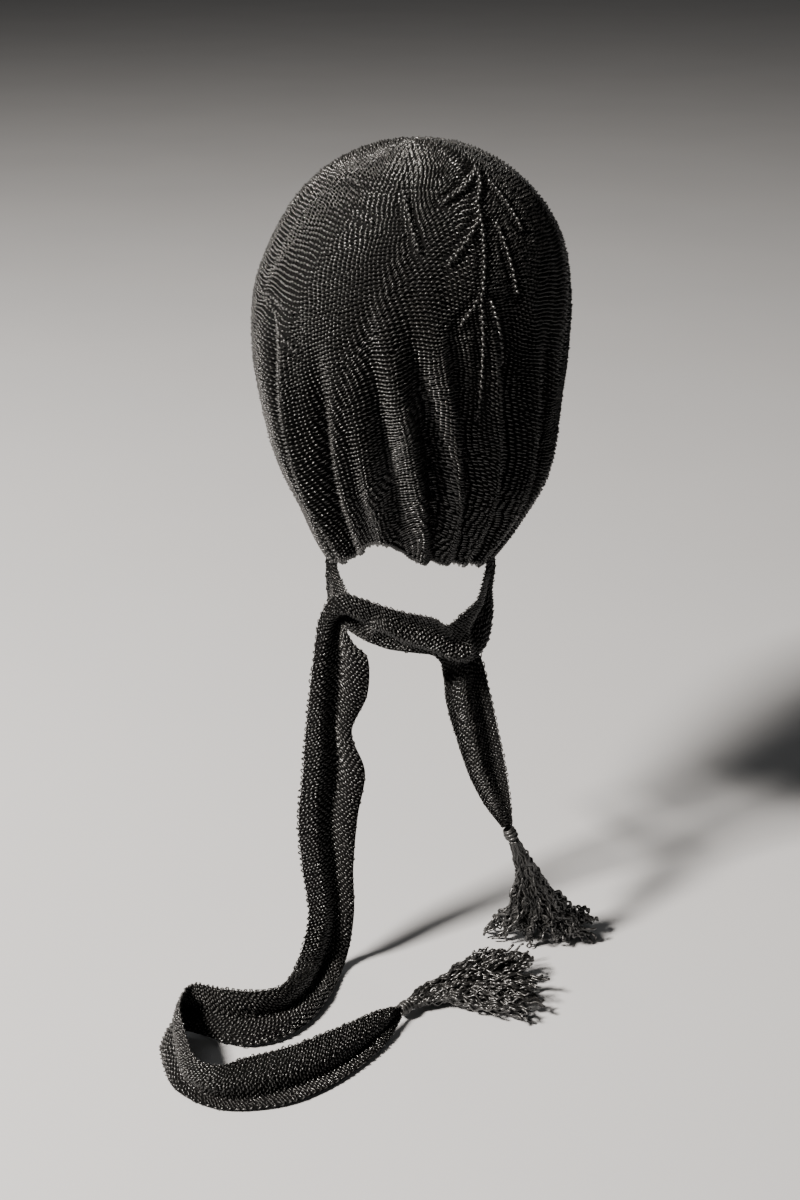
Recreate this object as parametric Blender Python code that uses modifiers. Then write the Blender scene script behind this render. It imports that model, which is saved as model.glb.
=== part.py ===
"""A black hand-knitted bonnet: a bag-shaped hood gathered to the nape, with two
knitted ties that cross behind the neck, hang, and end in bound tassels.

Metres, +Z up. The wearer faces +Y, so the nape is at -Y. The origin is the
inside of the crown's top, where the bonnet sits on a head.
"""

import math

import bmesh
import bpy
from mathutils import Vector

MM = 0.001

# Driving sizes, in metres
CROWN_HEIGHT = 0.099        # outer crown above the middle of the head
KNIT_WALL = 0.0020          # the hood's knitted cloth
TIE_WALL = 0.0024           # a tie's cloth, folded lengthwise
EDGE_RADIUS = 0.0015        # the bound-off edge round the whole rim
SEAT_GAP = 0.0003           # clearance between two pieces that touch
CORNER_AZIMUTH = 72.0       # degrees from the nape to the corners that carry the ties

HEAD_MIDDLE = Vector((0, 0, KNIT_WALL - CROWN_HEIGHT))

# Mesh fineness
HOOD_COLUMNS = 84
HOOD_RINGS = 17
TIE_STEP = 0.011            # between two sections along a tie
TIE_STRIPS = 7              # across a tie
TUBE_SIDES = 1              # bevel_resolution of a round tube, which gives 6 sides
SMALL_ANGLE = 0.5           # degrees, to measure the cloth's slope at the rim
SMALL_SHARE = 0.05          # of a tie's row, to measure its direction
WELD = 1e-6                 # points closer than this become one

# The hood's reach from HEAD_MIDDLE in mm, by the angle from straight up in degrees
REACH_COLUMNS = ("angle", "left", "right", "nape", "brow")
REACH_ROWS = (
    (0, 99.0, 99.0, 99.0, 99.0),
    (20, 97.0, 100.5, 100.5, 98.5),
    (40, 93.8, 99.7, 100.5, 99.5),
    (60, 90.2, 97.3, 99.5, 101.0),
    (80, 90.4, 92.4, 98.5, 102.5),
    (100, 92.3, 92.2, 98.5, 102.0),
    (120, 100.0, 101.5, 104.0, 101.0),
    (140, 118.5, 126.0, 118.0, 107.0),
    (150, 131.5, 138.0, 129.5, 115.0),
    (161, 156.0, 156.0, 145.0, 127.0),
    (172, 180.0, 177.0, 162.0, 143.0),
)

# Where the hood ends: its angle from straight up, by azimuth from the nape (+ to the right)
NAPE_HEM_ROWS = (
    (-72, 160.8), (-43, 158.0), (-30, 154.5), (-20, 151.5), (-10, 151.8),
    (-3, 155.5), (8, 158.0), (38, 159.0), (72, 160.5),
)
FACE_EDGE_ROWS = (
    (72, 160.6), (78, 155.0), (86, 144.0), (95, 131.0), (107, 114.0),
    (122, 97.0), (140, 78.0), (160, 62.0), (180, 57.0),
)

# Lengthwise folds of the hood. They run from an angle below the crown down to the rim,
# their azimuth drifts from "top" to "hem", and they stand out (+) or sink in (-).
FOLD_COLUMNS = ("name", "start", "top", "hem", "height_mm", "half_width")
FOLD_ROWS = (
    ("middle ridge", 74, -9.5, 6.0, 5.0, 4.6),
    ("groove beside it", 80, -1.0, 13.5, -5.0, 4.2),
    ("second ridge", 66, 5.0, 21.0, 4.0, 4.2),
    ("groove", 84, 12.0, 29.0, -3.5, 4.2),
    ("feather spine", 60, 23.0, 36.0, 3.5, 4.4),
    ("groove", 86, 31.0, 44.0, -4.5, 4.6),
    ("right ridge", 70, 42.0, 52.0, 3.5, 5.0),
    ("right groove", 92, 54.0, 61.0, -4.0, 5.0),
    ("groove left of the middle", 82, -14.0, -5.5, -3.0, 4.0),
    ("small ridge", 104, -19.0, -15.0, 3.0, 4.0),
    ("ridge", 98, -25.0, -27.0, 4.0, 4.2),
    ("left groove", 96, -33.0, -37.0, -5.0, 4.6),
    ("left ridge", 88, -47.0, -47.5, 5.0, 4.8),
    ("outer left groove", 84, -56.0, -59.0, -4.5, 5.0),
    ("left side gather", 88, -101.0, -97.0, -2.5, 5.0),
    ("right side gather", 88, 101.0, 97.0, -2.5, 5.0),
)
FOLDS = [dict(zip(FOLD_COLUMNS, row)) for row in FOLD_ROWS]
FOLD_FULL = 150.0           # the angle at which a fold reaches its whole height
FOLD_PAST = 1.1             # how far beyond that angle a fold goes on growing

# The ties, from the hood's corner to the bound end. Each row has the two edges of the
# strip in mm, then the depth of its lengthwise fold and where that fold lies,
# from 0 at the first edge to 1 at the second.
TIE_COLUMNS = ("place", "ax", "ay", "az", "bx", "by", "bz", "fold_mm", "fold_at")
LONG_TIE_ROWS = (
    ("corner", 46.5, -16.5, -244.9, 48.5, -12, -245.2, 0, 0.5),
    ("side of the neck", 43, -36, -248, 50, -14.5, -263, 1, 0.5),
    ("side, lower", 38.5, -51, -253, 50, -28, -272.5, 2, 0.5),
    ("start of the band", 30.5, -61, -256, 46, -47, -284, 3, 0.5),
    ("band", 21, -67, -261, 34.5, -60, -289, -3, 0.5),
    ("band", 12.5, -69, -255.5, 16, -66, -282.5, -4, 0.45),
    ("band, middle", -2, -70, -252, -2, -68, -279.5, -4, 0.5),
    ("band", -15, -70, -248, -16.5, -68, -276.5, -3, 0.5),
    ("band, left", -28.5, -68, -243.5, -28, -67, -268.5, 2, 0.6),
    ("turning down", -39, -65, -242, -34, -67, -264.5, 3, 0.6),
    ("turning down", -47.5, -63, -247.5, -36, -66, -264, 4, 0.6),
    ("turning down", -53, -64, -258, -36, -67, -266.5, 5, 0.5),
    ("tail", -55.5, -67, -271, -31.5, -69, -273.5, 6, 0.45),
    ("tail", -57.5, -70, -284, -23.5, -71, -281.5, 7, 0.42),
    ("tail", -60.5, -74, -307.5, -24, -74, -303.5, 8, 0.45),
    ("tail, narrow", -62.5, -78, -328, -33.5, -78, -326, 8, 0.55),
    ("tail, wide", -64.5, -83, -350, -25.5, -82, -350.5, 8, 0.5),
    ("tail", -67.5, -90, -380.5, -30, -88, -377.5, 7, 0.52),
    ("tail", -65, -98, -409, -33, -94, -410, 6, 0.6),
    ("tail, low", -61.5, -107, -435, -33, -99, -440.5, 4, 0.6),
    ("foot", -67, -122, -455, -38.5, -105.5, -470, 3, 0.6),
    ("far run", -73.5, -150, -452, -50, -144, -472.5, 4, 0.5),
    ("far run", -87.5, -159, -450, -67.5, -171, -472.5, 5, 0.5),
    ("far run", -106, -158.5, -449, -95, -181.5, -472.5, 4, 0.5),
    ("turn", -125.5, -155.5, -448, -131.5, -168.5, -472.5, 2, 0.5),
    ("turn", -130, -173.5, -448, -141.5, -181, -472.5, -2, 0.5),
    ("turn", -123.5, -200, -449, -137.5, -201, -472.5, -3, 0.6),
    ("turn", -117, -215.5, -451, -129, -219, -472.5, -4, 0.7),
    ("near run", -104.5, -219.5, -453, -110, -232, -472.5, -4, 0.75),
    ("near run", -87.5, -212, -453, -88.5, -234.5, -472.5, -4, 0.75),
    ("near run", -65.5, -203, -453, -63, -228, -472.5, -4, 0.7),
    ("near run", -40.5, -185, -455, -38.5, -210.5, -472.5, -3, 0.7),
    ("near run, narrow", -18.5, -165.5, -459, -15, -181.5, -472.5, -2, 0.6),
    ("bound end", -6.5, -155.5, -464, -5, -157.5, -471, 0, 0.5),
)
SHORT_TIE_ROWS = (
    ("corner", -45.5, -16.5, -246.3, -48, -12, -246.6, 0, 0.5),
    ("side of the neck", -41.5, -32, -251, -49, -14, -263, 1, 0.5),
    ("side, lower", -34.5, -44, -256, -47.5, -22, -277.5, 2, 0.5),
    ("behind the band", -15, -55, -262.5, -24, -47, -283.5, 3, 0.5),
    ("behind the band", 5.5, -57, -268, 2.5, -54, -285.5, 3, 0.5),
    ("behind the band", 25, -50, -276.5, 16.5, -55, -290, 3, 0.5),
    ("turning down", 41.5, -39, -291.5, 19.5, -52, -305, 4, 0.5),
    ("tail", 48.5, -50, -312.5, 20.5, -62, -314.5, 5, 0.6),
    ("tail", 53.5, -65, -333, 26, -70, -332.5, 5, 0.6),
    ("tail", 58, -76, -354, 34, -77, -355, 4, 0.6),
    ("tail, narrow", 60.5, -82, -372, 43.5, -83, -372, 2, 0.5),
    ("bound end", 61.5, -86, -385, 55, -86, -387, 0, 0.5),
)
FOLD_SPREAD = 0.17          # how broad a tie's lengthwise fold is, as a share of its width
FOLD_BOW = 0.35             # how far the rest bows against it, as a share of the fold's depth

# Bindings: the wrapped yarn that gathers a tie's end and holds its tassel
BINDING_RADIUS = 0.0042
BINDING_LENGTH = 0.0085
BINDING_RINGS = 14
BINDING_POINTS = 5          # of its swelling outline
BINDING_WAIST = 0.80        # its ends' radius, as a share of its middle's

# Tassels: locks that leave a small head and end on an ellipse or in a fan
HEAD_RADIUS = 0.0050
HEAD_SEGMENTS = 12
HEAD_RINGS = 8
LOCK_POINTS = 6
LOCK_RADIUS = 0.0048
CORE_RADIUS = 0.0060        # the lock in the middle of the standing tassel
LOCK_ROOT = 0.2             # how deep in the head a lock starts, as a share of its radius
LOCK_THIN = 0.55            # a lock's thinnest, as a share of its radius
LOCK_SWELL = 0.75           # what its belly adds to that
LOCK_PHASES = (0.12, 0.87)  # where on a half wave that belly begins and ends
SWAY = 0.0016               # a lock's side-to-side wave
SWAY_ALONG = 5.0            # radians of that wave along a lock
SWAY_NEXT = 1.7             # radians from one lock's wave to the next one's
STANDING_TASSEL = {
    "end_centre": Vector((0.083, -0.072, -0.4690)),
    "end_reach": Vector((0.039, 0.0135, 0.0)),
    "locks": 10,
    "bow": 0.010,
}
LYING_TASSEL = {
    "reach": 0.082,
    "upper_reach": 0.072,
    "first_angle": -12.0,
    "last_angle": 46.0,
    "outer_share": 0.86,    # the outermost locks' reach, as a share of the middle one's
    "locks": 7,
    "upper_locks": 4,
    "height": 0.0067,       # of a lower lock's end above the floor
    "lift": 0.0095,         # of the upper layer above the lower one
}
FLOOR = -0.4740             # the lowest point, where the long tie's end lies


def interpolate(rows, x):
    """Smooth curve through (position, value) rows, read at x, straight past their ends."""
    xs = [row[0] for row in rows]
    ys = [row[1] for row in rows]
    last = len(xs) - 1

    def slope(i):
        before, after = max(i - 1, 0), min(i + 1, last)
        return (ys[after] - ys[before]) / (xs[after] - xs[before])

    i = 0
    while i < last - 1 and x > xs[i + 1]:
        i += 1
    h = xs[i + 1] - xs[i]
    t = (x - xs[i]) / h
    return (
        (1 + 2 * t) * (1 - t) ** 2 * ys[i]
        + t * (1 - t) ** 2 * h * slope(i)
        + t * t * (3 - 2 * t) * ys[i + 1]
        + t * t * (t - 1) * h * slope(i + 1)
    )


def column(rows, names, name, key="angle"):
    """One named column of a table against its key column."""
    return [(row[names.index(key)], row[names.index(name)]) for row in rows]


REACH = {side: column(REACH_ROWS, REACH_COLUMNS, side) for side in REACH_COLUMNS[1:]}


def rim_angle(azimuth):
    """The angle from straight up at which the hood ends, for an azimuth from -180 to 180."""
    if abs(azimuth) <= CORNER_AZIMUTH:
        return interpolate(NAPE_HEM_ROWS, azimuth)
    return interpolate(FACE_EDGE_ROWS, abs(azimuth))


def fold_height(azimuth, angle):
    """How far the hood's folds push its cloth out at a place, in metres."""
    height = 0.0
    for fold in FOLDS:
        down = (angle - fold["start"]) / (FOLD_FULL - fold["start"])
        down = min(max(down, 0.0), FOLD_PAST)
        centre = fold["top"] + (fold["hem"] - fold["top"]) * down
        rise = down * down * (3 - 2 * min(down, 1.0))
        away = (azimuth - centre) / fold["half_width"]
        height += fold["height_mm"] * MM * rise * math.exp(-away * away)
    return height


def hood_point(azimuth, angle):
    """A point of the hood's outer face. Azimuth 0 is the nape and +90 the right side."""
    turn, fall = math.radians(azimuth), math.radians(angle)
    side = "right" if math.sin(turn) >= 0 else "left"
    end = "nape" if math.cos(turn) >= 0 else "brow"
    across = math.sin(turn) / interpolate(REACH[side], angle)
    along = math.cos(turn) / interpolate(REACH[end], angle)
    reach = MM / math.hypot(across, along)
    level = Vector((math.sin(turn), -math.cos(turn), 0))
    out = reach * math.sin(fall) + fold_height(azimuth, angle)
    return HEAD_MIDDLE + out * level + Vector((0, 0, reach * math.cos(fall)))


def hood_azimuths():
    """Even columns round the hood, with one exactly on each corner."""
    step = 360.0 / HOOD_COLUMNS
    azimuths = [-180.0 + step * i for i in range(HOOD_COLUMNS)]
    for corner in (-CORNER_AZIMUTH, CORNER_AZIMUTH):
        nearest = min(range(HOOD_COLUMNS), key=lambda i: abs(azimuths[i] - corner))
        azimuths[nearest] = corner
    return azimuths


def new_collection(name):
    collection = bpy.data.collections.new(name)
    bpy.context.scene.collection.children.link(collection)
    return collection


def yarn_material(name, colour, roughness):
    material = bpy.data.materials.new(name)
    material.use_nodes = True
    shader = material.node_tree.nodes["Principled BSDF"]
    shader.inputs["Base Color"].default_value = (*colour, 1.0)
    shader.inputs["Roughness"].default_value = roughness
    shader.inputs["Metallic"].default_value = 0.0
    material.diffuse_color = (*colour, 1.0)
    return material


def add_object(name, mesh, material, collection):
    mesh.materials.clear()
    mesh.materials.append(material)
    thing = bpy.data.objects.new(name, mesh)
    collection.objects.link(thing)
    return thing


def grid_mesh(name, sections, closed=False, tip=None):
    """An open surface through rows of points; tip closes the first row to one point."""
    mesh = bmesh.new()
    rows = [[mesh.verts.new(point) for point in section] for section in sections]
    count = len(rows[0])
    for above, below in zip(rows, rows[1:]):
        for i in range(count if closed else count - 1):
            j = (i + 1) % count
            mesh.faces.new((above[i], below[i], below[j], above[j]))
    if tip is not None:
        point = mesh.verts.new(tip)
        for i in range(count):
            mesh.faces.new((point, rows[0][i], rows[0][(i + 1) % count]))
    data = bpy.data.meshes.new(name)
    mesh.to_mesh(data)
    mesh.free()
    data.shade_smooth()
    return data


def solidify(thing, thickness, offset):
    wall = thing.modifiers.new("cloth", "SOLIDIFY")
    wall.thickness = thickness
    wall.offset = offset
    wall.use_even_offset = True
    wall.use_rim = True


def mesh_from_curve(curve_object, collection):
    """The curve object's tube as a mesh object with welded caps; the curve goes."""
    graph = bpy.context.evaluated_depsgraph_get()
    data = bpy.data.meshes.new_from_object(curve_object.evaluated_get(graph))
    name, place = curve_object.name, curve_object.matrix_world.copy()
    bpy.data.objects.remove(curve_object)
    mesh = bmesh.new()
    mesh.from_mesh(data)
    bmesh.ops.remove_doubles(mesh, verts=mesh.verts, dist=WELD)
    bmesh.ops.recalc_face_normals(mesh, faces=mesh.faces)
    mesh.to_mesh(data)
    mesh.free()
    thing = bpy.data.objects.new(name, data)
    thing.matrix_world = place
    collection.objects.link(thing)
    return thing


def tube(name, points, radii, collection, cyclic=False):
    """A tube along points, as a curve object with a bevel and filled caps."""
    curve = bpy.data.curves.new(name, "CURVE")
    curve.dimensions = "3D"
    curve.twist_mode = "MINIMUM"
    curve.bevel_depth = 1.0
    curve.bevel_resolution = TUBE_SIDES
    curve.use_fill_caps = not cyclic
    spline = curve.splines.new("POLY")
    spline.points.add(len(points) - 1)
    for knot, point, radius in zip(spline.points, points, radii):
        knot.co = (*point, 1.0)
        knot.radius = radius
    spline.use_cyclic_u = cyclic
    thing = bpy.data.objects.new(name, curve)
    collection.objects.link(thing)
    return thing


def make_hood(material, collection):
    """The bag itself, as an open knitted surface thickened inwards."""
    azimuths = hood_azimuths()
    rings = [
        [hood_point(a, rim_angle(a) * ring / HOOD_RINGS) for a in azimuths]
        for ring in range(1, HOOD_RINGS + 1)
    ]
    mesh = grid_mesh("hood", rings, closed=True, tip=hood_point(0, 0))
    solidify(add_object("hood", mesh, material, collection), KNIT_WALL, -1.0)


def rim_path():
    """The middle line of the bound edge, clear of the hood's rim all the way round."""
    azimuths = hood_azimuths()
    count = len(azimuths)
    rim = []
    normals = []
    for azimuth in azimuths:
        angle = rim_angle(azimuth)
        here = hood_point(azimuth, angle)
        down = here - hood_point(azimuth, angle - SMALL_ANGLE)
        right = hood_point(azimuth + SMALL_ANGLE, angle)
        left = hood_point(azimuth - SMALL_ANGLE, angle)
        normal = (right - left).cross(down).normalized()
        if normal.dot(here - HEAD_MIDDLE) < 0:
            normal = -normal
        rim.append(here - normal * (KNIT_WALL / 2))
        normals.append(normal)
    clear = EDGE_RADIUS + 2 * SEAT_GAP
    path = []
    for i in range(count):
        before = (rim[i] - rim[i - 1]).cross(normals[i]).normalized()
        after = (rim[(i + 1) % count] - rim[i]).cross(normals[i]).normalized()
        mitre = (before + after) / (1 + before.dot(after))
        path.append(rim[i] + mitre * clear)
    return path


def make_bound_edge(material, collection):
    """The bound-off edge round the face opening and the nape, one closed ring."""
    path = rim_path()
    radii = [EDGE_RADIUS] * len(path)
    edge = tube("bound_edge", path, radii, collection, cyclic=True)
    edge = mesh_from_curve(edge, collection)
    edge.data.materials.append(material)
    edge.data.shade_smooth()


def tie_sections(rows):
    """Points across a tie at even steps along it, from its table of edges."""
    number = {name: TIE_COLUMNS.index(name) for name in TIE_COLUMNS[1:]}
    tables = {
        name: [(i, row[number[name]]) for i, row in enumerate(rows)] for name in number
    }

    def edges(t):
        read = {name: interpolate(tables[name], t) for name in tables}
        first = Vector((read["ax"], read["ay"], read["az"])) * MM
        second = Vector((read["bx"], read["by"], read["bz"])) * MM
        return first, second, read["fold_mm"] * MM, read["fold_at"]

    stations = []
    for i in range(len(rows) - 1):
        start, end = sum(edges(i)[:2], Vector()), sum(edges(i + 1)[:2], Vector())
        count = max(1, round((end - start).length / 2 / TIE_STEP))
        stations += [i + k / count for k in range(count)]
    stations.append(len(rows) - 1)

    sections = []
    for t in stations:
        first, second, fold, fold_at = edges(t)
        early = edges(max(t - SMALL_SHARE, 0))
        late = edges(min(t + SMALL_SHARE, len(rows) - 1))
        run = (late[0] + late[1] - early[0] - early[1]).normalized()
        normal = run.cross(first - second).normalized()
        section = []
        for k in range(TIE_STRIPS + 1):
            s = k / TIE_STRIPS
            depth = fold * math.exp(-(((s - fold_at) / FOLD_SPREAD) ** 2))
            bow = FOLD_BOW * fold * math.sin(math.pi * s)
            section.append(first.lerp(second, s) + normal * (depth - bow))
        sections.append(section)
    return sections


def make_tie(name, rows, material, collection):
    """A knitted strip, folded lengthwise, as an open surface thickened both ways."""
    mesh = grid_mesh(name, tie_sections(rows))
    solidify(add_object(name, mesh, material, collection), TIE_WALL, 0.0)


def tie_end(rows):
    """The middle of a tie's bound end and the direction it leaves in."""
    sections = tie_sections(rows)
    last = sum(sections[-1], Vector()) / len(sections[-1])
    before = sum(sections[-2], Vector()) / len(sections[-2])
    return last, (last - before).normalized()


def make_binding(name, start, direction, material, collection):
    """Wrapped yarn as a turned barrel along the tie's end."""
    profile = bpy.data.meshes.new(name)
    half = BINDING_LENGTH / 2
    heights = [half * (1 - 2 * k / (BINDING_POINTS - 1)) for k in range(BINDING_POINTS)]
    outline = [(0.0, 0.0, half)]
    for height in heights:
        swell = 1 - (1 - BINDING_WAIST) * (height / half) ** 2
        outline.append((BINDING_RADIUS * swell, 0.0, height))
    outline.append((0.0, 0.0, -half))
    steps = [(k, k + 1) for k in range(len(outline) - 1)]
    profile.from_pydata(outline, steps, [])
    binding = add_object(name, profile, material, collection)
    turned = binding.modifiers.new("turned", "SCREW")
    turned.angle = 2 * math.pi
    turned.steps = BINDING_RINGS
    turned.render_steps = BINDING_RINGS
    turned.use_merge_vertices = True
    turned.merge_threshold = WELD
    turned.use_smooth_shade = True
    binding.rotation_mode = "QUATERNION"
    binding.rotation_quaternion = direction.to_track_quat("Z", "Y")
    binding.location = start + direction * (half + 2 * SEAT_GAP)


def make_lock(name, number, start, end, radius, direction, bow, locks):
    """One wavy lock of a tassel, thickest in its lower half."""
    points = []
    radii = []
    side = Vector((0, 1, 0)).cross(direction)
    first_phase, last_phase = LOCK_PHASES
    for k in range(LOCK_POINTS):
        t = k / (LOCK_POINTS - 1)
        along = start.lerp(end, t) + direction * (bow * math.sin(math.pi * t))
        sway = SWAY * math.sin(SWAY_ALONG * t + SWAY_NEXT * number)
        points.append(along + side * sway)
        phase = first_phase + (last_phase - first_phase) * t
        radii.append(radius * (LOCK_THIN + LOCK_SWELL * math.sin(math.pi * phase)))
    lock = mesh_from_curve(tube(f"{name}_lock_{number}", points, radii, locks), locks)
    lock.hide_render = True
    lock.display_type = "WIRE"


def make_tassel(name, head, direction, ends, bow, material, collection, cutters):
    """Locks of yarn that leave a small round head, fused to it into one solid."""
    bpy.ops.mesh.primitive_uv_sphere_add(
        segments=HEAD_SEGMENTS, ring_count=HEAD_RINGS, radius=HEAD_RADIUS
    )
    tassel = bpy.context.active_object
    for old in list(tassel.users_collection):
        old.objects.unlink(tassel)
    collection.objects.link(tassel)
    tassel.name = name
    tassel.data.name = name
    tassel.location = head
    tassel.data.materials.append(material)
    locks = new_collection(name + "_locks")
    cutters.children.link(locks)
    bpy.context.scene.collection.children.unlink(locks)
    start = head - direction * (LOCK_ROOT * HEAD_RADIUS)
    for number, (end, radius) in enumerate(ends):
        make_lock(name, number, start, end, radius, direction, bow, locks)
    fuse = tassel.modifiers.new("fused locks", "BOOLEAN")
    fuse.operation = "UNION"
    fuse.operand_type = "COLLECTION"
    fuse.collection = locks
    fuse.solver = "EXACT"
    fuse.use_self = True


def standing_ends():
    """Where the hanging tassel's locks meet the table, round an ellipse."""
    shape = STANDING_TASSEL
    reach = shape["end_reach"]
    ends = []
    for k in range(shape["locks"]):
        turn = 2 * math.pi * k / shape["locks"]
        place = Vector((reach.x * math.cos(turn), reach.y * math.sin(turn), 0))
        ends.append((shape["end_centre"] + place, LOCK_RADIUS))
    ends.append((shape["end_centre"], CORE_RADIUS))
    return ends


def lying_ends(head):
    """Where the lying tassel's locks end: a low fan with a second layer on it."""
    shape = LYING_TASSEL
    spread = shape["last_angle"] - shape["first_angle"]
    ends = []
    for count, lift, reach in (
        (shape["locks"], 0.0, shape["reach"]),
        (shape["upper_locks"], shape["lift"], shape["upper_reach"]),
    ):
        for k in range(count):
            share = (k + 0.5) / count
            turn = math.radians(shape["first_angle"] + share * spread)
            outer = shape["outer_share"]
            length = reach * (outer + (1 - outer) * math.sin(math.pi * share))
            end = head + Vector((length * math.cos(turn), length * math.sin(turn), 0))
            end.z = FLOOR + shape["height"] + lift
            ends.append((end, LOCK_RADIUS))
    return ends


def build():
    bonnet = new_collection("knitted bonnet")
    cutters = new_collection("cutters")
    cutters.hide_render = True
    knit = yarn_material("knitted silk yarn", (0.012, 0.011, 0.010), 0.46)
    edge_yarn = yarn_material("bound-off silk edge", (0.010, 0.009, 0.009), 0.50)
    tie_knit = yarn_material("tie knit", (0.014, 0.013, 0.012), 0.48)
    wrap = yarn_material("wrapped yarn", (0.011, 0.010, 0.010), 0.52)
    loose = yarn_material("crinkled tassel yarn", (0.016, 0.015, 0.014), 0.42)

    make_hood(knit, bonnet)
    make_bound_edge(edge_yarn, bonnet)
    for name, rows in (("long", LONG_TIE_ROWS), ("short", SHORT_TIE_ROWS)):
        make_tie(f"{name}_tie", rows, tie_knit, bonnet)
        start, direction = tie_end(rows)
        make_binding(f"{name}_binding", start, direction, wrap, bonnet)
        head = start + direction * (3 * SEAT_GAP + BINDING_LENGTH + HEAD_RADIUS)
        if name == "long":
            ends, bow = lying_ends(head), 0.0
        else:
            ends, bow = standing_ends(), STANDING_TASSEL["bow"]
        make_tassel(f"{name}_tassel", head, direction, ends, bow, loose, bonnet, cutters)


for old_object in list(bpy.data.objects):
    bpy.data.objects.remove(old_object)
build()
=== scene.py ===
# %% [markdown]
# # A knitted bonnet with two tasselled ties
# The bonnet is a soft bag of black silk yarn, knitted by hand. It is smooth over the
# crown, falls into deep folds towards the nape, and has two narrow knitted ties that
# cross behind the neck and end in tassels of crinkled yarn.
#
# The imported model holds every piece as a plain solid. This script dresses it: each solid
# gives its place to real yarn, one round strand for each row of knitting.

import math

import bpy
import numpy as np
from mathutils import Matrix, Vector


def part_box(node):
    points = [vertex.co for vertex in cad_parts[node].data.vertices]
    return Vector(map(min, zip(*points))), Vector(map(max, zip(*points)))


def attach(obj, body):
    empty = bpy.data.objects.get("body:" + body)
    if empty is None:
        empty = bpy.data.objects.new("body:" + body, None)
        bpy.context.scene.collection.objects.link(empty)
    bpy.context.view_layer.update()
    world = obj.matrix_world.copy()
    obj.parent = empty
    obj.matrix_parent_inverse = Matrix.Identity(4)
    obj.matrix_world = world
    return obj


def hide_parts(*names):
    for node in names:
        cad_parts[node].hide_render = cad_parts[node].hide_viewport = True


scene = bpy.context.scene
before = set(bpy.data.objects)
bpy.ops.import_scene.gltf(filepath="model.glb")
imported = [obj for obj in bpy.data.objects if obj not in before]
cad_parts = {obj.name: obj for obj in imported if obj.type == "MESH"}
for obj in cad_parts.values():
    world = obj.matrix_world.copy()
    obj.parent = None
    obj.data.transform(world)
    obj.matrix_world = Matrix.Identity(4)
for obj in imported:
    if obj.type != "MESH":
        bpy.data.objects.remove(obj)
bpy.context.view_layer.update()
print("pieces to dress:", ", ".join(sorted(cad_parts)))

# %% [markdown]
# ## Colours and nodes
# Black silk is a very dark warm grey. The hex values are sRGB, as on a colour card, and
# one function turns them into the linear values that Blender's shaders use.

# %% Helpers for colours and shader nodes
MM = 0.001


def linear(hex_colour):
    """A hex value as linear red, green and blue, with an alpha of one."""
    channels = [int(hex_colour[i:i + 2], 16) / 255 for i in (1, 3, 5)]
    return (*[c / 12.92 if c <= 0.04045 else ((c + 0.055) / 1.055) ** 2.4 for c in channels], 1.0)


def add_node(tree, kind, settings=None, inputs=None, links=None):
    """A shader node: its settings, its inputs' values, and the sockets fed into it."""
    node = tree.nodes.new(kind)
    for name, value in (settings or {}).items():
        setattr(node, name, value)
    for name, value in (inputs or {}).items():
        node.inputs[name].default_value = value
    for name, socket in (links or {}).items():
        tree.links.new(socket, node.inputs[name])
    return node


def add_noise(tree, place, size, detail):
    """The height of a soft noise whose spots are about this size, in metres."""
    return add_node(
        tree, "ShaderNodeTexNoise", inputs={"Scale": 1 / size, "Detail": detail},
        links={"Vector": place},
    ).outputs["Fac"]


def add_blend(tree, first, second, share):
    """A colour between the first and the second, by the share of the second."""
    return add_node(
        tree, "ShaderNodeMix", {"data_type": "RGBA"}, {6: linear(first), 7: linear(second)},
        {0: share},
    ).outputs[2]


def new_material(name, settings):
    """A material, its tree, its shader, and the places of its piece's points."""
    material = bpy.data.materials.new(name)
    material.use_nodes = True
    tree = material.node_tree
    shader = tree.nodes["Principled BSDF"]
    for socket, value in settings.items():
        shader.inputs[socket].default_value = value
    place = add_node(tree, "ShaderNodeTexCoord").outputs["Object"]
    return material, tree, shader, place


# %% [markdown]
# ## The yarn's own finish
# The yarn is spun silk: two plies twisted round each other, a little over a millimetre
# thick. They cast slanting grooves, single fibres break up the highlight, and a clear
# coat gives the small bright gleam of combed fibres. The grooves follow the strand's own
# map: its length in metres, and once round it.

# %% A material for spun yarn
PLY_TWIST = 2.2 * MM  # length over which the plies make one turn
PLIES = 2
PLY_RELIEF = 0.35  # the plies' share of the relief, beside the fibres'
FIBRE = 0.25 * MM  # size of the fine fibre noise
YARN_RELIEF = 0.15 * MM
SHADE = 14 * MM  # size of the slow changes in the dye
ROUGHER, SMOOTHER = 0.10, 0.08
SILK = {
    "IOR": 1.54,
    "Coat Roughness": 0.18,
    "Sheen Weight": 0.02,
    "Sheen Roughness": 0.35,
    "Sheen Tint": linear("#c9c2b4"),
}


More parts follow.
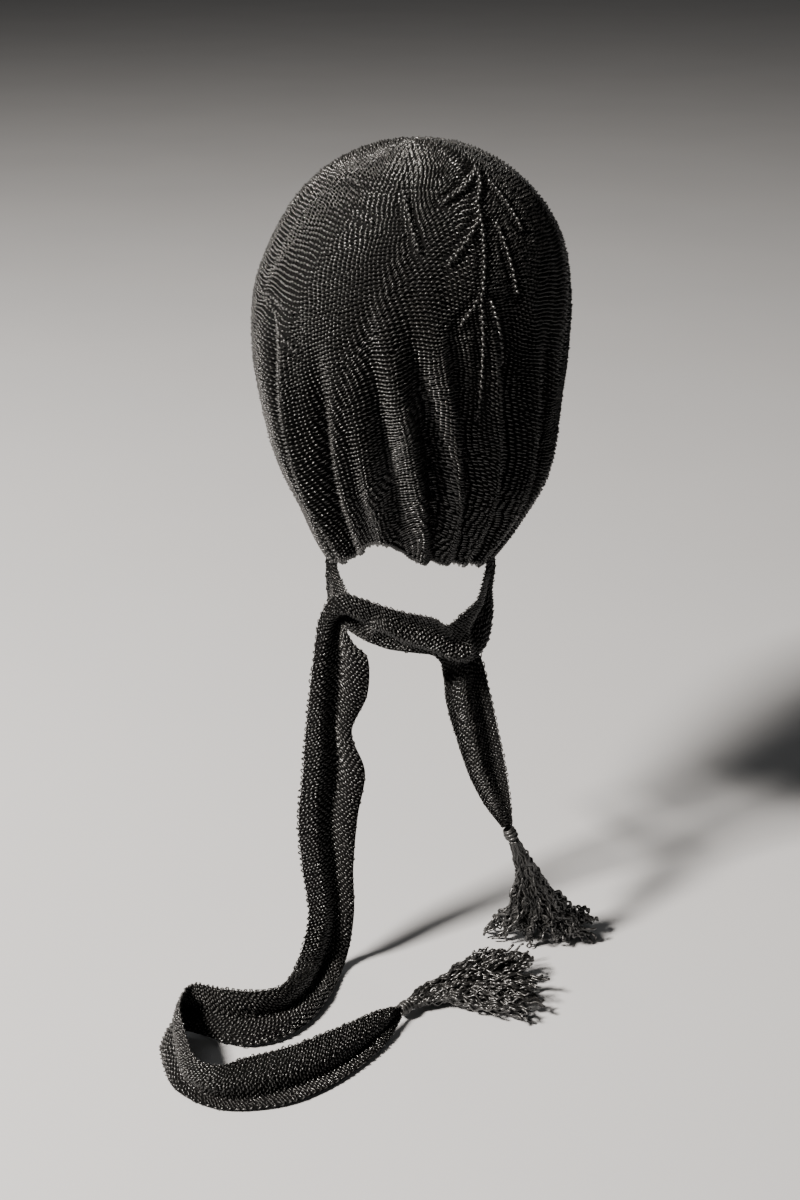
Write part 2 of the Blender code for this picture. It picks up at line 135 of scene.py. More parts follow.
def spun_silk(name, dark, light, roughness, gloss):
    """Twisted silk yarn, whose dye drifts between two near-black shades."""
    material, tree, shader, place = new_material(name, {**SILK, "Coat Weight": gloss})
    strand = add_node(tree, "ShaderNodeUVMap", {"uv_map": "strand"})
    split = add_node(tree, "ShaderNodeSeparateXYZ", links={"Vector": strand.outputs["UV"]})
    along = add_node(
        tree, "ShaderNodeMath", {"operation": "MULTIPLY"},
        {1: 2 * math.pi / PLY_TWIST}, {0: split.outputs["X"]},
    )
    twist = add_node(
        tree, "ShaderNodeMath", {"operation": "MULTIPLY_ADD"},
        {1: 2 * math.pi * PLIES}, {0: split.outputs["Y"], 2: along.outputs[0]},
    )
    groove = add_node(tree, "ShaderNodeMath", {"operation": "SINE"}, links={0: twist.outputs[0]})
    fibre = add_noise(tree, place, FIBRE, 2.0)
    height = add_node(
        tree, "ShaderNodeMath", {"operation": "MULTIPLY_ADD"},
        {1: PLY_RELIEF}, {0: groove.outputs[0], 2: fibre},
    )
    bump = add_node(
        tree, "ShaderNodeBump", inputs={"Strength": 0.6, "Distance": YARN_RELIEF},
        links={"Height": height.outputs[0]},
    )
    uneven = add_node(
        tree, "ShaderNodeMapRange",
        inputs={"To Min": roughness - SMOOTHER, "To Max": roughness + ROUGHER},
        links={"Value": fibre},
    )
    dye = add_blend(tree, dark, light, add_noise(tree, place, SHADE, 3.0))
    tree.links.new(dye, shader.inputs["Base Color"])
    tree.links.new(uneven.outputs["Result"], shader.inputs["Roughness"])
    tree.links.new(bump.outputs["Normal"], shader.inputs["Normal"])
    return material


hood_silk = spun_silk("black spun silk, hood", "#080808", "#100f0e", 0.46, 1.0)
edge_silk = spun_silk("black spun silk, bound edge", "#080808", "#0f0e0d", 0.46, 0.8)
tie_silk = spun_silk("black spun silk, ties", "#070707", "#0d0c0b", 0.46, 0.8)
wrap_silk = spun_silk("black spun silk, wrapped tight", "#080807", "#0e0d0c", 0.48, 0.6)
# painted shade: the tassels' copy of the yarn is darker than the hood's, for the shade among their
# clumps
tassel_silk = spun_silk("black spun silk, crinkled ends", "#050505", "#0c0b0a", 0.46, 0.55)

# %% [markdown]
# ## The painted shade between the stitches
# Between the strands the eye looks into the fabric, where almost no light comes back. A
# near-black cloth just under the stitches, darker than the yarn, paints that shade in. It
# is also the one plain sheet of each soft piece that can be measured.

# %% A material for the painted shade under the stitches
LOOP = 2.4 * MM  # size of the loops seen from inside
LOOP_RELIEF = 0.6 * MM


def painted_shade_cloth(name):
    """Painted shade for the inner side of knitted cloth: near-black, darker towards the edges of
    the loops, matt, with the relief of the loops.
    """
    material, tree, shader, place = new_material(
        name, {"Roughness": 0.9, "Specular IOR Level": 0.1}
    )
    loops = add_node(
        tree, "ShaderNodeTexVoronoi", inputs={"Scale": 1 / LOOP}, links={"Vector": place}
    ).outputs["Distance"]
    bump = add_node(
        tree, "ShaderNodeBump", {"invert": True}, {"Strength": 0.8, "Distance": LOOP_RELIEF},
        {"Height": loops},
    )
    # painted shade: a near-black that darkens further towards the edges of the loops
    tree.links.new(add_blend(tree, "#050505", "#020202", loops), shader.inputs["Base Color"])
    tree.links.new(bump.outputs["Normal"], shader.inputs["Normal"])
    return material


hood_painted_shade = painted_shade_cloth("painted shade under the hood's stitches")
tie_painted_shade = painted_shade_cloth("painted shade under the ties' stitches")

# %% [markdown]
# ## One strand of yarn as a mesh
# This bonnet has more than twenty thousand stitches, so its strands are worked out as
# arrays: a line of centres, a direction away from the cloth, and a thickness. Each centre
# gets a ring of corners, and neighbouring rings are joined with quads.

# %% Turn lines of centres into round yarn
def unit(vectors):
    """The same directions, each of length one."""
    return vectors / np.maximum(np.linalg.norm(vectors, axis=-1, keepdims=True), 1e-12)


def lengths_along(points):
    """How far along a line each of its points lies."""
    steps = np.linalg.norm(np.diff(points, axis=0), axis=1)
    return np.concatenate([[0], np.cumsum(steps)])


def strand_rings(centres, outward, radii, sides, closed):
    """Corners of a strand: a ring for each centre, the first of each facing outward."""
    if closed:
        ahead = np.roll(centres, -1, axis=0) - np.roll(centres, 1, axis=0)
    else:
        ahead = np.gradient(centres, axis=0)
    ahead = unit(ahead)
    across = unit(np.cross(ahead, outward))
    up = np.cross(across, ahead)
    turn = (2 * np.pi * np.arange(sides) / sides)[None, :, None]
    around = np.cos(turn) * up[:, None] + np.sin(turn) * across[:, None]
    return centres[:, None] + radii[:, None, None] * around


def yarn_mesh(name, strands, sides):
    """Strands as one mesh. Each is (centres, outward, radii, closed), where outward is one
    direction for each centre or one for all."""
    corners, quads, caps, maps = [], [], [], []
    base = 0
    for centres, outward, radii, closed in strands:
        rings = strand_rings(centres, outward, radii, sides, closed)
        count = len(centres)
        length = lengths_along(np.concatenate([centres, centres[:1]]))
        first = np.arange(count if closed else count - 1)
        ring, corner = np.meshgrid(first, np.arange(sides), indexing="ij")
        ring, corner = ring.ravel(), corner.ravel()
        after, beside = (ring + 1) % count, (corner + 1) % sides
        quads.append(base + np.stack([
            ring * sides + corner, ring * sides + beside,
            after * sides + beside, after * sides + corner,
        ], axis=1))
        turn, next_turn = corner / sides, (corner + 1) / sides
        maps.append(np.stack([
            length[ring], turn, length[ring], next_turn,
            length[ring + 1], next_turn, length[ring + 1], turn,
        ], axis=1))
        if not closed:
            caps.append(base + np.arange(sides)[::-1])
            caps.append(base + (count - 1) * sides + np.arange(sides))
        corners.append(rings.reshape(-1, 3))
        base += count * sides
    faces = np.concatenate(quads).tolist() + [cap.tolist() for cap in caps]
    mesh = bpy.data.meshes.new(name)
    mesh.from_pydata(np.concatenate(corners).tolist(), [], faces)
    layer = mesh.uv_layers.new(name="strand")
    flat = np.concatenate([np.concatenate(maps).ravel(), np.zeros(2 * sides * len(caps))])
    layer.data.foreach_set("uv", flat)
    mesh.shade_smooth()
    return mesh


def triangles(mesh):
    """How many triangles a mesh has once its faces are cut up."""
    return sum(len(polygon.vertices) - 2 for polygon in mesh.polygons)


def dress(name, mesh, material, node):
    """A piece that stands for one of the plain solids."""
    mesh.materials.append(material)
    piece = bpy.data.objects.new(name, mesh)
    scene.collection.objects.link(piece)
    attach(piece, "root")
    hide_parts(node)
    print(f"{name}: {triangles(mesh)} triangles")
    return piece


def dress_yarn(name, strands, sides, material, node):
    """A piece that is made of strands."""
    return dress(name, yarn_mesh(name, strands, sides), material, node)


# %% [markdown]
# ## The form of the hood
# The hood is a rounded bag round the middle of a head. Its reach from there is given at
# a few angles from straight up, for the left, the right, the nape and the brow, with a
# smooth curve between them. The folds start below the crown, drift sideways on their way
# down, and flatten where the rim is cast off.

# %% The hood's surface, with its folds
KNIT_WALL = 2.0 * MM  # thickness of the cloth
CROWN_HEIGHT = 99.0 * MM  # from the head's middle to the outside of the crown
HEAD_MIDDLE = np.array((0, 0, KNIT_WALL - CROWN_HEIGHT))
CORNER_AZIMUTH = 72.0  # degrees from the nape to the corners that carry the ties

REACH_COLUMNS = ("angle", "left", "right", "nape", "brow")
REACH_ROWS = (
    (0, 99.0, 99.0, 99.0, 99.0),
    (20, 97.0, 100.5, 100.5, 98.5),
    (40, 93.8, 99.7, 100.5, 99.5),
    (60, 90.2, 97.3, 99.5, 101.0),
    (80, 90.4, 92.4, 98.5, 102.5),
    (100, 92.3, 92.2, 98.5, 102.0),
    (120, 100.0, 101.5, 104.0, 101.0),
    (140, 118.5, 126.0, 118.0, 107.0),
    (150, 131.5, 138.0, 129.5, 115.0),
    (161, 156.0, 156.0, 145.0, 127.0),
    (172, 180.0, 177.0, 162.0, 143.0),
)
NAPE_HEM_ROWS = (
    (-72, 160.8), (-43, 158.0), (-30, 154.5), (-20, 151.5), (-10, 151.8),
    (-3, 155.5), (8, 158.0), (38, 159.0), (72, 160.5),
)
FACE_EDGE_ROWS = (
    (72, 160.6), (78, 155.0), (86, 144.0), (95, 131.0), (107, 114.0),
    (122, 97.0), (140, 78.0), (160, 62.0), (180, 57.0),
)
# Each fold: the angle where it starts, its azimuths there and at the hem, its height in
# millimetres and half its width in degrees
FOLD_ROWS = (
    ("middle ridge", 74, -9.5, 6.0, 5.0, 4.6),
    ("groove beside it", 80, -1.0, 13.5, -5.0, 4.2),
    ("second ridge", 66, 5.0, 21.0, 4.0, 4.2),
    ("groove", 84, 12.0, 29.0, -3.5, 4.2),
    ("feather spine", 60, 23.0, 36.0, 3.5, 4.4),
    ("groove", 86, 31.0, 44.0, -4.5, 4.6),
    ("right ridge", 70, 42.0, 52.0, 3.5, 5.0),
    ("right groove", 92, 54.0, 61.0, -4.0, 5.0),
    ("groove on the left", 82, -14.0, -5.5, -3.0, 4.0),
    ("small ridge", 104, -19.0, -15.0, 3.0, 4.0),
    ("ridge", 98, -25.0, -27.0, 4.0, 4.2),
    ("left groove", 96, -33.0, -37.0, -5.0, 4.6),
    ("left ridge", 88, -47.0, -47.5, 5.0, 4.8),
    ("outer left groove", 84, -56.0, -59.0, -4.5, 5.0),
    ("left side gather", 88, -101.0, -97.0, -2.5, 5.0),
    ("right side gather", 88, 101.0, 97.0, -2.5, 5.0),
)
FOLD_HEM = 150.0  # the angle at which a fold has reached its azimuth at the hem
FOLD_PAST = 1.1  # how far beyond that angle it goes on drifting
GROOVE_DEEPER = 2.5  # limp yarn falls further into a groove than the stiff solid
RIDGE_HIGHER = 1.5  # and stands higher on a ridge
FOLD_NARROWER = 0.80
FOLD_EARLIER = 18.0  # degrees higher up that its folds start
FOLD_GROWN = 120.0  # the angle at which they are as deep as they get
EASE_OVER = 16.0  # degrees above the rim in which they flatten
EASED = 0.40  # what is left of them at the rim


def curve_through(rows, x):
    """A smooth curve through (position, value) rows, read at every x."""
    at, value = np.array(rows, dtype=float).T
    run, rise = np.pad(at, 1, "edge"), np.pad(value, 1, "edge")
    slope = (rise[2:] - rise[:-2]) / (run[2:] - run[:-2])
    i = np.clip(np.searchsorted(at, x) - 1, 0, len(at) - 2)
    h = at[i + 1] - at[i]
    t = (x - at[i]) / h
    return (
        (1 + 2 * t) * (1 - t) ** 2 * value[i]
        + t * (1 - t) ** 2 * h * slope[i]
        + t * t * (3 - 2 * t) * value[i + 1]
        + t * t * (t - 1) * h * slope[i + 1]
    )


REACH = {
    name: [(row[0], row[i]) for row in REACH_ROWS] for i, name in enumerate(REACH_COLUMNS) if i
}


def rim_angle(azimuth):
    """The angle from straight up at which the hood ends."""
    nape = curve_through(NAPE_HEM_ROWS, np.clip(azimuth, -CORNER_AZIMUTH, CORNER_AZIMUTH))
    face = curve_through(FACE_EDGE_ROWS, np.abs(azimuth))
    return np.where(np.abs(azimuth) <= CORNER_AZIMUTH, nape, face)


def fold_height(azimuth, angle):
    """How far the folds push the cloth out, in metres."""
    height = np.zeros(np.broadcast(azimuth, angle).shape)
    for _, start, top, hem, height_mm, half_width in FOLD_ROWS:
        down = np.clip((angle - start) / (FOLD_HEM - start), 0.0, FOLD_PAST)
        away = (azimuth - (top + (hem - top) * down)) / (FOLD_NARROWER * half_width)
        begin = start - FOLD_EARLIER
        grown = np.clip((angle - begin) / (FOLD_GROWN - begin), 0.0, 1.0)
        rise = grown * grown * (3 - 2 * grown)
        softer = GROOVE_DEEPER if height_mm < 0 else RIDGE_HIGHER
        height = height + softer * height_mm * MM * rise * np.exp(-away * away)
    to_rim = np.clip((rim_angle(azimuth) - angle) / EASE_OVER, 0, 1)
    return height * (EASED + (1 - EASED) * to_rim * to_rim * (3 - 2 * to_rim))


def hood_surface(azimuth, angle, folded=True):
    """Points of the outer face, by azimuth from the nape and angle from straight up."""
    azimuth, angle = np.broadcast_arrays(np.asarray(azimuth, float), np.asarray(angle, float))
    turn, fall = np.radians(azimuth), np.radians(angle)
    read = {name: curve_through(rows, angle) for name, rows in REACH.items()}
    across = np.sin(turn) / np.where(np.sin(turn) >= 0, read["right"], read["left"])
    along = np.cos(turn) / np.where(np.cos(turn) >= 0, read["nape"], read["brow"])
    reach = MM / np.hypot(across, along)
    out = reach * np.sin(fall)
    if folded:
        out = out + fold_height(azimuth, angle)
    return HEAD_MIDDLE + np.stack(
        [out * np.sin(turn), -out * np.cos(turn), reach * np.cos(fall)], axis=-1
    )


def hood_frame(azimuth, angle):
    """Points of the outer face, with the ways out of the cloth and down along it."""
    small = 0.3
    here = hood_surface(azimuth, angle)
    down = hood_surface(azimuth, angle + small) - hood_surface(azimuth, angle - small)
    right = hood_surface(azimuth + small, angle) - hood_surface(azimuth - small, angle)
    out = unit(np.cross(right, down))
    inward = np.sum(out * (here - HEAD_MIDDLE), axis=-1, keepdims=True) < 0
    return here, np.where(inward, -out, out), unit(down)


# %% [markdown]
# ## Rows and stitches of the hood
# Courses are the rows of knitting, and wales its columns. Here the courses are rings at
# even distances from the crown, measured along the cloth, with as many stitches as fit.
# Their number changes by two in each of eight sectors, as a knitter would increase and
# decrease. Slow waves push the courses up and down and the wales to and fro, as wear does.

# %% Measure the cloth and lay out its courses
WALE = 2.80 * MM
COURSE = 2.15 * MM
SECTORS = 8
LEAST_AT_HEM = 16  # stitches in a sector where the hood is gathered
BEYOND_RIM = 44 * MM  # courses past the rim, which the gathers pull up into the cloth

azimuth_grid = np.linspace(-180, 180, 361)
angle_grid = np.linspace(0, 176, 353)
plain_cloth = hood_surface(azimuth_grid[:, None], angle_grid[None, :], folded=False)
from_crown = np.array([lengths_along(line) for line in plain_cloth])
rim_reach = np.array([
    np.interp(rim_angle(a), angle_grid, run) for a, run in zip(azimuth_grid, from_crown)
])
course_count = int((rim_reach.max() + BEYOND_RIM) / COURSE)
print("courses:", course_count)

# Each wave: height in mm, waves round the hood, length in mm down the hood, start
COURSE_WAVES = ((2.6, 6, 150, 0.4), (1.5, 11, 95, 2.1), (0.5, 24, 60, 0.0))
WALE_WAVES = ((2.4, 5, 130, 1.0), (1.2, 9, 70, 3.0))
WAVES_FULL = 70 * MM  # from the crown to where the waves have their whole height
# Where the gathers drag the courses down (plus) or up (minus): azimuth, millimetres
COURSE_PULL = (
    (-180, 0), (-110, 8), (-80, 24), (-52, 38), (-28, 14), (-8, -14), (9, -30),
    (24, -20), (45, -4), (75, 12), (110, 6), (180, 0),
)
PULL_STARTS, PULL_FULL = 50 * MM, 245 * MM  # from the crown
PULL_PAST = 1.2  # how far beyond that it goes on growing
SPIRAL = 26.0  # degrees that the wales turn sideways on their way to the rim
STITCH_WANDER = 0.10  # of a stitch, from one course to the next


def cloth_waves(waves, azimuth, distance):
    """The sum of slow waves over the cloth, in metres."""
    turn = np.radians(azimuth)
    height = sum(
        size * MM * np.sin(round_count * turn + 2 * np.pi * distance / (down * MM) + start)
        for size, round_count, down, start in waves
    )
    return height * min(1.0, distance / WAVES_FULL)


def course_angles(distance):
    """For each azimuth of the grid, the angle that lies this far from the crown."""
    wave = cloth_waves(COURSE_WAVES, azimuth_grid, distance)
    pulled = np.clip((distance - PULL_STARTS) / (PULL_FULL - PULL_STARTS), 0, PULL_PAST)
    wave = wave + curve_through(COURSE_PULL, azimuth_grid) * MM * pulled
    return np.array([
        np.interp(distance + w, run, angle_grid) for w, run in zip(wave, from_crown)
    ])


# %% [markdown]
# ## The feather pattern
# The photograph shows a small leaf worked into the fabric, a spine with slanting
# branches, and a few lines of the same kind elsewhere. They stand a little proud, with a
# dark channel beside them. Each line runs between places given as azimuth and angle.

# %% Lines of raised stitches
FEATHER_LINES = (
    ("right spine", (49, 27), (31.5, 41), (22.5, 71.5), (22.5, 110)),
    ("branch", (49, 27), (14.5, 40)),
    ("branch", (48, 33.5), (48.5, 52)),
    ("branch", (29, 46.5), (13, 60)),
    ("branch", (36.5, 48.5), (37, 71)),
    ("branch", (21.5, 71.5), (15, 79)),
    ("branch", (26, 72), (31.5, 93.5)),
    ("middle spine", (-4, 36), (2.5, 56)),
    ("left leaf", (-67, 75), (-55, 80.5), (-40, 90.5)),
    ("left leaf, lower", (-62.5, 75), (-43, 78)),
    ("left line", (-46, 30.5), (-14, 33.5)),
    ("left line, lower", (-26.5, 43.5), (-16, 46.5)),
)
SPOTS_A_LINE = 24
LINE_WIDTH = 1.7 * MM
CHANNEL_AWAY = 3.4 * MM


def feather_distance(points):
    """How far each point is from the nearest of the feather's lines."""
    nearest = np.full(len(points), 1.0)
    for _, *places in FEATHER_LINES:
        for start, end in zip(places, places[1:]):
            for spot in hood_surface(*np.linspace(start, end, SPOTS_A_LINE).T):
                nearest = np.minimum(nearest, np.linalg.norm(points - spot, axis=1))
    return nearest


# %% [markdown]
# ## Purl stitches
# The purl side is out. There each stitch shows as one short bright bar, the head of
# its loop, whose legs dive into the cloth on both sides. So a course is one strand that
# comes out for half of a stitch and dives for the rest, which makes the deep black
# between the bars.

# %% Knit the hood
# Along one stitch: its share, then how far out of the cloth, how far down it and how
# thick, in millimetres
STITCH_ROWS = (
    (-0.24, -0.70, 0.22, 0.39),
    (0.00, 0.12, -0.17, 0.65),
    (0.24, -0.70, 0.22, 0.39),
    (0.50, -1.65, 0.70, 0.28),
)
LINE_LIFT = -0.5 * MM  # the plain stitches make room for the feather's chain
CHANNEL_DEPTH = 1.5 * MM
CHANNEL_THINNER = 0.35
# How much single stitches differ: down the cloth, out of it, and as a share of thickness
LOOSE_DOWN, LOOSE_OUT, LOOSE_THICK = 0.22 * MM, 0.27 * MM, 0.11
TRIANGLES_A_PIECE = 180_000
YARN_SIDES = 3

chance = np.random.default_rng(11)


def repeat_stitch(rows, count):
    """The columns of a stitch over and over, with its number added to its shares."""
    columns = np.tile(np.array(rows), (count, 1)).T
    columns[0] += np.repeat(np.arange(count), len(rows))
    return columns


def knit_course(distance, stitches, wander):
    """The strands of one course, cut where they meet the rim."""
    stitch_count = SECTORS * stitches
    place, out_mm, down_mm, radius_mm = repeat_stitch(STITCH_ROWS, stitch_count)
    azimuth = -180 + 360 * (place + 0.5) / stitch_count
    sway = cloth_waves(WALE_WAVES, azimuth, distance) * 360 / (stitch_count * WALE)
    sway = sway + SPIRAL * distance / rim_reach.max() + wander * 360 / stitch_count
    azimuth = (azimuth + sway + 180) % 360 - 180
    angle = np.interp(azimuth, azimuth_grid, course_angles(distance))
    here, out, down = hood_frame(azimuth, angle)
    near = feather_distance(here)
    line = np.exp(-(near / LINE_WIDTH) ** 2)
    channel = np.exp(-((near - CHANNEL_AWAY) / LINE_WIDTH) ** 2)
    loose = np.repeat(chance.normal(0, 1, (3, stitch_count)), len(STITCH_ROWS), axis=1)
    rise = down_mm * MM + LOOSE_DOWN * loose[0]
    lift = out_mm * MM + LOOSE_OUT * loose[1]
    lift = lift + LINE_LIFT * line - CHANNEL_DEPTH * channel
    centres = here + down * rise[:, None] + out * lift[:, None]
    radii = radius_mm * MM * (1 + LOOSE_THICK * loose[2]) * (1 - CHANNEL_THINNER * channel)
    inside = angle < rim_angle(azimuth)
    if inside.all():
        return [(centres, out, radii, True)]
    first = int(np.argmin(inside))
    order = np.roll(np.arange(len(inside)), -first)
    cuts = np.flatnonzero(np.diff(inside[order].astype(int))) + 1
    runs = [run for run in np.split(order, cuts) if inside[run[0]] and len(run) > 2]
    return [(centres[run], out[run], radii[run], False) for run in runs]


def knit_hood():
    """All the hood's courses, each with as many stitches as fit."""
    courses = []
    most = 0
    wander = np.cumsum(chance.normal(0, STITCH_WANDER, course_count))
    for number in range(course_count):
        distance = (number + 0.5) * COURSE
        ring = hood_surface(azimuth_grid, course_angles(distance))
        around = np.linalg.norm(np.diff(ring, axis=0), axis=1).sum()
        stitches = 2 * max(1, round(around / (2 * SECTORS * WALE)))
        if stitches < most:
            stitches = max(stitches, LEAST_AT_HEM)
        most = max(most, stitches)
        courses.append(knit_course(distance, stitches, wander[number]))
    print("stitches in the widest course:", most * SECTORS)
    return courses


def in_pieces(courses, sides):
    """The courses in groups, each under the limit of triangles."""
    groups, size = [[]], 0
    for course in courses:
        cost = sum(len(strand[0]) * sides * 2 for strand in course)
        if size + cost > TRIANGLES_A_PIECE:
            groups.append([])
            size = 0
        groups[-1] += course
        size += cost
    return groups


hood_stitches = [
    dress_yarn(f"hood_stitches_{i}", group, YARN_SIDES, hood_silk, "hood")
    for i, group in enumerate(in_pieces(knit_hood(), YARN_SIDES), start=1)
]

# %% [markdown]
# ## The cloth under the stitches
# The same surface, a little further in, as one plain sheet with an open rim. Laid flat,
# the hood is a rectangle that is folded over the head and gathered.

# %% The hood's cloth
CLOTH_LEVEL = 1.85 * MM  # below the outer face
CLOTH_COLUMNS, CLOTH_RINGS = 240, 90


def sheet_mesh(name, points, closed, tip=None):
    """A sheet through rows of points; a tip closes the first row."""
    rows, columns = points.shape[:2]
    number = np.arange(rows * columns).reshape(rows, columns)
    if closed:
        number = np.concatenate([number, number[:, :1]], axis=1)
    quads = np.stack(
        [number[:-1, :-1], number[1:, :-1], number[1:, 1:], number[:-1, 1:]], axis=-1
    ).reshape(-1, 4).tolist()
    corners = points.reshape(-1, 3).tolist()
    if tip is not None:
        corners.append(tuple(tip))
        quads += [(rows * columns, int(a), int(b)) for a, b in zip(number[0], number[0][1:])]
    mesh = bpy.data.meshes.new(name)
    mesh.from_pydata(corners, [], quads)
    mesh.shade_smooth()
    return mesh


cloth_azimuths = np.linspace(-180, 180, CLOTH_COLUMNS, endpoint=False)
cloth_shares = np.arange(1, CLOTH_RINGS + 1)[:, None] / CLOTH_RINGS
cloth_angles = cloth_shares * rim_angle(cloth_azimuths)
cloth_place, cloth_out, _ = hood_frame(cloth_azimuths, cloth_angles)
crown_tip = hood_surface(0.0, 0.0) - np.array((0, 0, CLOTH_LEVEL))
# the hood's cloth carries the painted shade that shows between the stitches
hood_cloth = dress(
    "hood_cloth",
    sheet_mesh("hood_cloth", cloth_place - cloth_out * CLOTH_LEVEL, True, crown_tip),
    hood_painted_shade, "hood",
)

# %% [markdown]
# ## The bound edge
# Round the whole rim the last stitches are cast off into a chain of linked loops, thicker
# than the cloth, with loose loops that stick out here and there. Two strands that wind
# round the rim make the chain, and a third one throws the loops.

# %% Cast off the rim
CHAIN_PITCH = 3.0 * MM
CHAIN_RADIUS = 1.20 * MM
CHAIN_YARN = 0.76 * MM
CHAIN_POINTS = 6  # to one turn of a strand
EDGE_CLEAR = 1.1 * MM  # from the end of the cloth to the middle of the chain
CHAIN_SIDES = 5
RIM_POINTS = 1440
LOOSE_LOOP = 3.6 * MM
LOOSE_RADIUS = 0.6  # how closely the third strand winds, as a share of the chain's


def even_steps(path, step):
    """A closed path with points at even distances along it."""
    ring = np.concatenate([path, path[:1]])
    length = lengths_along(ring)
    count = round(length[-1] / step)
    at = np.arange(count) * length[-1] / count
    return np.stack([np.interp(at, length, column) for column in ring.T], axis=1)


rim_azimuths = np.linspace(-180, 180, RIM_POINTS, endpoint=False)
rim_place, rim_out, rim_down = hood_frame(rim_azimuths, rim_angle(rim_azimuths))
rim_run = unit(np.roll(rim_place, -1, axis=0) - np.roll(rim_place, 1, axis=0))
rim_away = unit(np.cross(rim_run, rim_out))
rim_away = rim_away * np.sign(np.sum(rim_away * rim_down, axis=1, keepdims=True))
chain_line = rim_place - rim_out * (KNIT_WALL / 2) + rim_away * EDGE_CLEAR
chain_path = even_steps(chain_line, CHAIN_PITCH / CHAIN_POINTS)
nearest_rim = np.array([np.argmin(np.linalg.norm(chain_line - p, axis=1)) for p in chain_path])
chain_out, chain_away = rim_out[nearest_rim], rim_away[nearest_rim]
chain_turn = 2 * np.pi * np.arange(len(chain_path)) / CHAIN_POINTS


def chain_strand(start, radius, throw):
    """A strand that winds round the rim's chain and is thrown outward by turns."""
    turn = chain_turn + start
    loose = np.repeat(chance.uniform(0, 1, len(turn) // CHAIN_POINTS + 1), CHAIN_POINTS)
    out = np.maximum(np.cos(turn), 0) ** 2 * throw * loose[:len(turn)]
    centres = chain_path + chain_out * (radius * np.sin(turn))[:, None]
    centres = centres + chain_away * (radius * np.cos(turn) + out)[:, None]
    return centres, chain_out, np.full(len(turn), CHAIN_YARN), True


edge_strands = [
    chain_strand(0.0, CHAIN_RADIUS, 0.0),
    chain_strand(np.pi, CHAIN_RADIUS, 0.0),
    chain_strand(np.pi / 2, LOOSE_RADIUS * CHAIN_RADIUS, LOOSE_LOOP),
]
dress_yarn("bound_edge_chain", edge_strands, CHAIN_SIDES, edge_silk, "bound_edge")

# %% [markdown]
# ## The feather's chains
# Each line is a strand that comes up thicker than the plain stitches do and dives again
# at each stitch, so that it reads as a row of bright beads.

# %% Lay the chains
FEATHER_PITCH = 2.9 * MM
FEATHER_SWAY = 0.45 * MM
FEATHER_YARN = 0.52 * MM
FEATHER_BEAD = 0.60  # how much thicker the beads are, and how much thinner the dives
FEATHER_HEIGHT = -0.28 * MM
FEATHER_DIVE = 1.00 * MM
FEATHER_POINTS = 8  # to one stitch
RULER_SPOTS = 60  # between two places, to measure a line


def feather_chain(places):
    """The strand of one of the feather's lines."""
    number = np.arange(len(places))
    share = np.linspace(0, number[-1], RULER_SPOTS * number[-1])
    azimuth, angle = (np.interp(share, number, column) for column in zip(*places))
    length = lengths_along(hood_surface(azimuth, angle))
    count = int(length[-1] / FEATHER_PITCH * FEATHER_POINTS)
    at = np.linspace(0, length[-1], count)
    place, out, _ = hood_frame(np.interp(at, length, azimuth), np.interp(at, length, angle))
    beside = unit(np.cross(np.gradient(place, axis=0), out))
    turn = 2 * np.pi * at / FEATHER_PITCH
    crest = np.sin(turn)
    lift = FEATHER_HEIGHT + FEATHER_DIVE * crest
    aside = FEATHER_SWAY * np.sin(turn / 2)
    centres = place + out * lift[:, None] + beside * aside[:, None]
    return centres, out, FEATHER_YARN * (1 + FEATHER_BEAD * crest), False


feather_strands = [feather_chain(places) for _, *places in FEATHER_LINES]
dress_yarn("hood_feather", feather_strands, CHAIN_SIDES, hood_silk, "hood")

# %% [markdown]
# ## The ties
# Each tie is a narrow knitted strip that folds in on itself lengthwise. Its route is a
# row of cross-sections.

